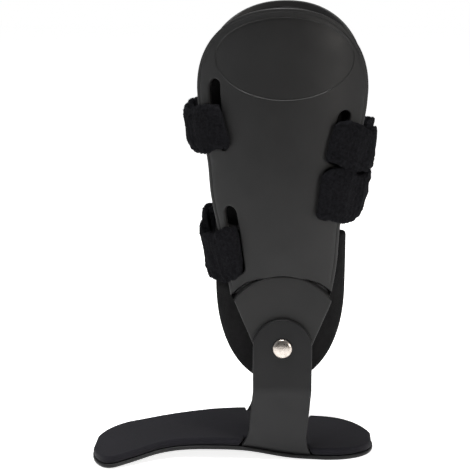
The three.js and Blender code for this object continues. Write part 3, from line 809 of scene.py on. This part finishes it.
def ankle_pad_outline(forward):
    """An egg with a flat top: a superellipse below its widest height and straight sides above."""
    t = np.linspace(0, np.pi / 2, 80)
    z = np.append(mix(ankle_pad_widest, ankle_pad_bottom, np.cos(t)), ankle_pad_top)
    below = clamp01((ankle_pad_widest - z) / (ankle_pad_widest - ankle_pad_bottom))
    half = ankle_pad_half * np.sqrt(1 - below**ankle_pad_squareness)
    right = np.stack([half, z], 1)
    loop = np.concatenate([right, right[::-1][:-1] * [-1, 1]])
    return soften(even(loop, 1.2 * MM), 5) - [forward, 0]


def make_pad(outline, gap):
    """A pad: its two faces drop towards its edge, the inner one from further in, to a seam."""
    rings = inner_rings(outline, np.array([0.25, 0.7, 1.3, 2.1, 3.2, 4.6]) * MM)
    flat, triangles = flat_mesh(outline, [], rings, 2.6 * MM)
    to_edge = distance(flat, outline)
    outer = pad_thickness / 2 - edge_round(to_edge, 2.2 * MM)
    inner = pad_thickness / 2 - edge_round(to_edge, 5.5 * MM) * 0.75
    return thick_sheet(triangles, pad_surface(flat, gap, -outer), pad_surface(flat, gap, inner))


knit = Paint("knitted pad cover", {
    "Specular IOR Level": 0.15, "Sheen Weight": 0.04, "Sheen Roughness": 0.5,
})
knit_stops = (0.3, (0.0038, 0.0038, 0.0042)), (0.7, (0.0065, 0.0063, 0.0065))
knit.feed("Base Color", knit.ramp(knit.noise(36, 3), *knit_stops))
knit.feed("Roughness", knit.fit(knit.noise(300, 3), 0.3, 0.7, 0.88, 1.0))
courses = knit.node("TexWave", {"bands_direction": "Z"}, {
    "Vector": knit.place, "Scale": 420, "Distortion": 1.2, "Detail": 2, "Detail Scale": 4,
})
knit.bump(courses * 0.6 + knit.noise(1500, 3), 0.7, 0.3 * MM)
pads = {
    "medial_calf_pad": (-1, calf_pad_outline(), shell_wall + pad_gap),
    "lateral_calf_pad": (1, calf_pad_outline(), shell_wall + pad_gap),
    "medial_ankle_pad": (-1, ankle_pad_outline(2.3 * MM), ankle_pad_gap),
    "lateral_ankle_pad": (1, ankle_pad_outline(4.5 * MM), ankle_pad_gap),
}
for name, (side, outline, gap) in pads.items():
    vertices, faces = make_pad(outline, gap)
    pad = new_piece(f"{name}_foam", placed(vertices, side), mirrored_faces(faces, side), sharp=70)
    pad.data.materials.append(knit.material)
    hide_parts(name)
    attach(pad, "cuff")


# The four straps: brushed loop pile, soft enough to puff up where they wrap a shell's edge. Each
# one passes from inside the shell's edge through a slot, back round the edge, and across to the
# other shell, and its fastened tail lies on the inner side of the run.
strap_thickness = 3 * MM
strap_gap = 0.7 * MM
strap_puff = 3.4 * MM

# For each strap its width, where it crosses the middle plane at its upper and lower edge, its
# sag, the share of the sag that is left on the lateral side, how far its lobe spreads past its
# slot from the lower edge to the upper one, how far its upper edge is squeezed down in the slot,
# how far that edge rises again over the puff, and how far its lower edge rises towards the middle
straps = {
    "upper_front": {
        "width": 35, "middle_top": 68, "middle_bottom": 63, "sag": 4, "far_sag": 0.9,
        "spread": [3, 3.4, 3.4, 2.4, 1.4, 0], "squeeze": 6, "rise": 2.5, "lift": 1,
    },
    "lower_front": {
        "width": 35, "middle_top": 58.5, "middle_bottom": 52, "sag": 7.5, "far_sag": 0,
        "spread": [-0.4, -0.6, -0.6, -0.6, -0.6, -1], "squeeze": 2, "rise": 2.8, "lift": 0,
    },
    "upper_back": {
        "width": 33, "middle_top": 58.5, "middle_bottom": 58.5, "sag": 7.5, "far_sag": 1,
        "spread": [3, 3, 2.8, 2.4, 2, 1], "squeeze": 5, "rise": 2.5, "lift": 0,
    },
    "lower_back": {
        "width": 33, "middle_top": 57.5, "middle_bottom": 51, "sag": 3.5, "far_sag": 0.3,
        "spread": [2.6, 2.6, 2.6, 2.6, 2.6, 2.6], "squeeze": 0, "rise": 3, "lift": 7,
    },
}
lobe_corner = 6 * MM


def from_edge(way, q, z, depth):
    """A point at the distance q inwards from the shell's edge, measured round the wall, and at a
    depth under its outer face. A negative q runs straight on past the edge."""
    bend = wrap_radius(z)
    turn = np.arcsin(reach(z, way) / bend) - np.maximum(q, 0) / bend
    past = np.maximum(-q, 0)
    r = bend - depth
    x = way * (np.sin(turn) * r + np.cos(turn) * past)
    out = wall_out(z) - bend + np.cos(turn) * r - np.sin(turn) * past
    return np.stack([x, -out, z], -1)


def strap_half(slot, strap, share, sag_share):
    """A strap's line from one fastened tail to the middle plane, for each share of its width: the
    tail beside the run, inside the shell's edge, out through the slot, puffed over the margin
    with round corners, and a cubic Bezier curve to the middle plane. It sags by sag_share."""
    way = slot["way"]
    inner = shell_wall + strap_gap + strap_thickness / 2
    outside = -strap_gap - strap_thickness / 2
    level = slot["top"] - slot["length"] + 2 * touch_gap + strap["width"] * MM * share
    margin = margin_at(slot, level)
    middle_out = mix(strap["middle_bottom"], strap["middle_top"], share) * MM
    middle = way * (middle_out - strap_thickness / 2)
    sag, squeeze = strap["sag"] * MM, strap["squeeze"] * MM * share**2
    middle_sag = mix(strap["far_sag"], 1, 0.6)
    spread = np.interp(share, np.linspace(0, 1, 6), strap["spread"]) * MM
    from_side = np.minimum(share, 1 - share) * strap["width"] * MM
    spread = spread - edge_round(from_side, lobe_corner) * 0.7

    def seat(q, depth, rises=0):
        drop = sag * smooth(1 - np.maximum(q, 0) / (margin + 2 * slot_half)) + squeeze
        lift = rises * strap["rise"] * MM * share**2
        return from_edge(way, q, level - (drop - lift) * sag_share, depth)

    over_edge = outside - strap_puff * 0.3
    leave = seat(-2.5 * MM, over_edge)
    heading = seat(-3.5 * MM, over_edge + 0.12 * MM) - leave
    heading /= np.linalg.norm(heading, axis=1)[:, None]
    to_middle = np.abs(leave[:, 1:2])
    far = np.stack([middle, leave[:, 1] * 0.45, leave[:, 2]], 1)
    last = np.stack([middle, 0 * middle, leave[:, 2]], 1)
    handles = [leave, leave + heading * to_middle * 0.45, far, last]

    def on_run(t, inwards):
        weights = [(1 - t) ** 3, 3 * t * (1 - t) ** 2, 3 * t**2 * (1 - t), t**3]
        at = sum(w * h for w, h in zip(weights, handles))
        slopes = [(1 - t) ** 2, 2 * t * (1 - t), t**2]
        along = sum(w * (b - a) for w, a, b in zip(slopes, handles, handles[1:]))
        along /= np.linalg.norm(along, axis=1)[:, None]
        at[:, 0] += -along[:, 1] * way * inwards
        at[:, 1] += along[:, 0] * way * inwards
        drop = sag + squeeze - strap["lift"] * MM * (1 - share) ** 2 * smooth(1.6 * t)
        at[:, 2] = level - drop * mix(sag_share, middle_sag, smooth(t))
        return at

    tail = []
    for t in mix(0.5, 0.02, np.linspace(0, 1, 5)):
        under = mix(inner - outside, strap_thickness + touch_gap, smooth(t / 0.35))
        tail.append(on_run(t, under))
    around = [
        (margin * 0.3, inner, 0),
        (margin * 0.7, inner, 0),
        (margin + slot_half * 0.5, inner, 0),
        (margin + slot_half * 1.3, shell_wall / 2, 0),
        (margin + 2 * slot_half - strap_thickness / 2 + spread, outside - 0.6 * MM, 0.3),
        (margin + slot_half * 1.05 + spread * 0.6, outside - strap_puff * 0.95, 0.7),
        (margin * 0.85, outside - strap_puff * 1.1, 1),
        (margin * 0.35, outside - strap_puff * 0.85, 0.9),
    ]
    run = [on_run(t, 0) for t in np.linspace(0, 1, 7)]
    return np.stack([*tail, *(seat(*place) for place in around), *run], 1)


def smooth_line(points, count):
    """A curve through points, evenly stepped from one to the next: a centripetal Catmull-Rom
    spline, whose slope at a point depends on the roots of its distances to its neighbours."""
    ends = [2 * points[:, :1] - points[:, 1:2], 2 * points[:, -1:] - points[:, -2:-1]]
    p = np.concatenate([ends[0], points, ends[1]], 1)
    gap = np.sqrt(np.linalg.norm(np.diff(p, axis=1), axis=2))[..., None]
    at = np.linspace(0, points.shape[1] - 1, count)
    i = np.minimum(at.astype(int), points.shape[1] - 2)
    t = (at - i)[None, :, None]
    p0, p1, p2, p3 = (p[:, i + k] for k in range(4))
    d0, d1, d2 = (gap[:, i + k] for k in range(3))
    m1 = ((p1 - p0) / d0 - (p2 - p0) / (d0 + d1) + (p2 - p1) / d1) * d1
    m2 = ((p2 - p1) / d1 - (p3 - p1) / (d1 + d2) + (p3 - p2) / d2) * d1
    curve = (2 * t**3 - 3 * t**2 + 1) * p1 + (t**3 - 2 * t**2 + t) * m1
    return curve + (3 * t**2 - 2 * t**3) * p2 + (t**3 - t**2) * m2


def waves(points, size, seed):
    """Smooth noise of about unit height: the sum of 24 sine waves of one length, each in its own
    direction, divided by the height that such a sum usually has."""
    draw = np.random.default_rng(seed)
    way = draw.normal(size=(24, 3))
    way *= 2 * np.pi / size / np.linalg.norm(way, axis=1)[:, None]
    phase = draw.uniform(0, 2 * np.pi, 24)
    return np.sin(points @ way.T + phase).sum(-1) / np.sqrt(24)


hairs_each = 9000
hair_length = (0.5 * MM, 1.5 * MM)
hair_radius = 0.09 * MM


def pile_hairs(band, outwards, seed):
    """Short hairs on a band, each a thin pyramid that leans at random from the outward way. The
    vertices come back hair by hair, with the faces numbered on from the band's vertices."""
    draw = np.random.default_rng(seed)
    root = draw.choice(len(band), hairs_each)
    lean = outwards[root] + draw.normal(size=(hairs_each, 3)) * 0.55
    lean /= np.linalg.norm(lean, axis=1)[:, None]
    length = draw.uniform(*hair_length, hairs_each)[:, None]
    one = np.cross(lean, draw.normal(size=(hairs_each, 3)))
    one *= hair_radius / np.linalg.norm(one, axis=1)[:, None]
    two = np.cross(lean, one)
    base = band[root] - lean * 0.2 * MM
    feet = [base + one, base - 0.5 * one + 0.87 * two, base - 0.5 * one - 0.87 * two]
    hairs = np.stack([*feet, base + lean * length], 1).reshape(-1, 3)
    sides = np.array([[0, 1, 3], [1, 2, 3], [2, 0, 3], [2, 1, 0]])
    faces = len(band) + 4 * np.arange(hairs_each)[:, None, None] + sides
    return hairs, faces.reshape(-1, 3).tolist()


def make_strap(slot, strap, seed):
    """A flat band carried along the strap's line. Its section is a rounded rectangle of 60 points,
    each placed by its share of the width and its distance from the middle layer. The pile makes
    the surface uneven, and hairs stand out of it."""
    shares = np.linspace(0, 1, 25)
    medial = strap_half(slot, strap, shares, 1)
    lateral = strap_half(slot, strap, shares, strap["far_sag"])[:, :-1][:, ::-1] * [1, -1, 1]
    lines = smooth_line(np.concatenate([medial, lateral], 1), 420)
    lines[..., 0] += hinge_x
    turn = np.linspace(0, 2 * np.pi, 60, endpoint=False)
    across = np.sign(np.cos(turn)) * np.abs(np.cos(turn)) ** 0.36
    layer = np.sign(np.sin(turn)) * np.abs(np.sin(turn)) ** 0.85 * strap_thickness / 2
    share = (across + 1) / 2 * (len(shares) - 1)
    row = np.minimum(share.astype(int), len(shares) - 2)
    line = mix(lines[row], lines[row + 1], (share - row)[:, None, None])
    along = np.gradient(line, axis=1)
    beside = np.stack([along[..., 1], -along[..., 0]], -1)
    beside /= np.linalg.norm(beside, axis=-1)[..., None]
    upwards = np.broadcast_to(np.cos(turn)[:, None, None], (*line.shape[:2], 1))
    outwards = np.concatenate([beside * np.sin(turn)[:, None, None], upwards], -1)
    from_end = np.linspace(0, 1, line.shape[1]) * 60
    taper = np.sin(np.minimum(np.minimum(from_end, from_end[::-1]), np.pi / 2))[None, :]
    pile = waves(line, 8 * MM, seed) * 0.35 + waves(line, 3.6 * MM, seed + 1) * 0.25
    points = line.copy()
    points[..., :2] += beside * (layer[:, None] * taper)[..., None]
    points += outwards * (pile * taper)[..., None] * MM
    points[..., :2] += beside * (waves(line, 23 * MM, seed + 2) * 0.3 * MM * taper)[..., None]
    points[..., 2] += waves(line, 15 * MM, seed + 3) * 0.5 * MM * np.abs(across[:, None])
    rows, columns = points.shape[:2]
    r, c = np.meshgrid(np.arange(rows), np.arange(columns - 1), indexing="ij")
    a, b = r * columns + c, (r + 1) % rows * columns + c
    faces = np.stack([a, a + 1, b + 1, b], 2).reshape(-1, 4).tolist()
    rim = np.arange(rows) * columns
    faces += [rim.tolist(), (rim + columns - 1)[::-1].tolist()]
    band = points.reshape(-1, 3)
    hairs, hair_faces = pile_hairs(band, outwards.reshape(-1, 3), seed + 4)
    return np.concatenate([band, hairs]), faces + hair_faces


pile = Paint("brushed loop pile", {"Specular IOR Level": 0.06, "Roughness": 1.0})
tuft = pile.noise(520, 4, 0.7)
pile_stops = (0.3, (0.0035, 0.0035, 0.0042)), (0.72, (0.012, 0.012, 0.014))
pile.feed("Base Color", pile.ramp(tuft, *pile_stops))
pile.bump(tuft + pile.noise(1500, 3, 0.7) * 0.6, 1.0, 0.6 * MM)
for seed, (name, strap) in enumerate(straps.items()):
    vertices, faces = make_strap(slots[name], strap, 10 * seed + 1)
    band = new_piece(f"{name}_strap_band", vertices, faces, sharp=70)
    band.data.materials.append(pile.material)
    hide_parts(f"{name}_strap")
    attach(band, "cuff")


# The studio: a plain pale floor, a white room and soft lights, and the camera where the
# photograph was taken from, a little above the brace and turned slightly towards the toes.
floor_mesh = bpy.data.meshes.new("floor")
wide, near, far = 1.6, 0.45, 5.0
floor_corners = [(-wide, -near, 0), (wide, -near, 0), (wide, far, 0), (-wide, far, 0)]
floor_mesh.from_pydata(floor_corners, [], [(0, 1, 2, 3)])
floor = bpy.data.objects.new("floor", floor_mesh)
bpy.context.scene.collection.objects.link(floor)
floor.location.z = -0.3 * MM
paper = Paint("white paper", {
    "Base Color": (0.92, 0.92, 0.92, 1), "Roughness": 0.9, "Specular IOR Level": 0.1,
    "Emission Color": (1, 1, 1, 1), "Emission Strength": 0.8,
})
floor.data.materials.append(paper.material)

# The room's walls look white, and light the brace from above more than from below
world = bpy.data.worlds.new("white room")
world.use_nodes = True
tree = world.node_tree
direction = tree.nodes.new("ShaderNodeTexCoord")
parts = tree.nodes.new("ShaderNodeSeparateXYZ")
tree.links.new(direction.outputs["Generated"], parts.inputs[0])
level = tree.nodes.new("ShaderNodeMapRange")
for socket, value in {"From Min": -0.1, "From Max": 0.9, "To Min": 0.05, "To Max": 0.26}.items():
    level.inputs[socket].default_value = value
tree.links.new(parts.outputs["Z"], level.inputs["Value"])
seen = tree.nodes.new("ShaderNodeLightPath")
either = tree.nodes.new("ShaderNodeMath")
either.operation = "MAXIMUM"
tree.links.new(seen.outputs["Is Camera Ray"], either.inputs[0])
tree.links.new(level.outputs["Result"], either.inputs[1])
tree.links.new(either.outputs[0], tree.nodes["Background"].inputs["Strength"])
tree.nodes["Background"].inputs["Color"].default_value = (1, 1, 1, 1)
bpy.context.scene.world = world
bpy.context.scene.view_settings.view_transform = "Standard"


def soft_light(name, place, target, size, power, colour=(1, 1, 1)):
    """A square area light at a place, aimed at a target."""
    light = bpy.data.lights.new(name, "AREA")
    light.shape, light.size, light.energy, light.color = "SQUARE", size, power, colour
    lamp = bpy.data.objects.new(name, light)
    lamp.location = place
    lamp.rotation_euler = (Vector(target) - Vector(place)).to_track_quat("-Z", "Y").to_euler()
    bpy.context.scene.collection.objects.link(lamp)


brace_middle = (0.03, 0, 0.16)
soft_light("overhead", (-0.1, -0.15, 1.3), brace_middle, 0.5, 22)
soft_light("right", (1.15, -1.0, 0.32), brace_middle, 0.35, 6.5, (1, 0.95, 0.9))
soft_light("left", (-1.3, -0.7, 0.6), brace_middle, 0.8, 1.2, (0.92, 0.96, 1))

camera = bpy.data.objects.new("camera", bpy.data.cameras.new("camera"))
photo_size = 470
focal_pixels = 1390
camera.data.sensor_width = 36
camera.data.lens = camera.data.sensor_width * focal_pixels / photo_size
camera.location = (46.54 * MM, -953.3 * MM, 355 * MM)
camera.rotation_euler = (np.radians(90 - 12), 0, np.radians(2.8))
bpy.context.scene.collection.objects.link(camera)
bpy.context.scene.camera = camera
